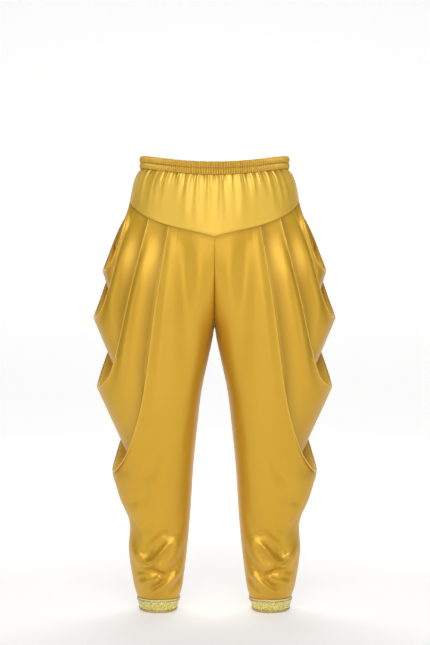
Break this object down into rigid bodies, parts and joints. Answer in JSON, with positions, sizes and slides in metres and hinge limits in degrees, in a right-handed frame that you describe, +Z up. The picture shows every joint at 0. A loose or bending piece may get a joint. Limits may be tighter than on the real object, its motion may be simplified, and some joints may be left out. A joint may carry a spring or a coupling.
{
  "type": "cowl-draped dhoti trousers",
  "caption": "Gold satin trousers with a gathered yoke, an elastic waistband, cowl folds draped at each side, narrow lower legs and trimmed hems.",
  "frame": {"origin": "middle of the waist opening, level with the waistband's mid height at the sides' mean", "axes": "+Z up the body, -Y the front of the garment, +X the wearer's left"},
  "size_m": [0.5072, 0.2493, 0.951],
  "materials": {
    "satin": "gold satin with a soft sheen",
    "elastic_waist": "gold satin shirred over elastic",
    "brocade_trim": "glittering yellow-green brocade"
  },
  "bodies": {
    "root": {"waistband": "elastic_waist", "yoke_front": "satin", "yoke_back": "satin", "leg_left": "satin", "leg_right": "satin", "cuff_left": "brocade_trim", "cuff_right": "brocade_trim"}
  },
  "joints": []
}
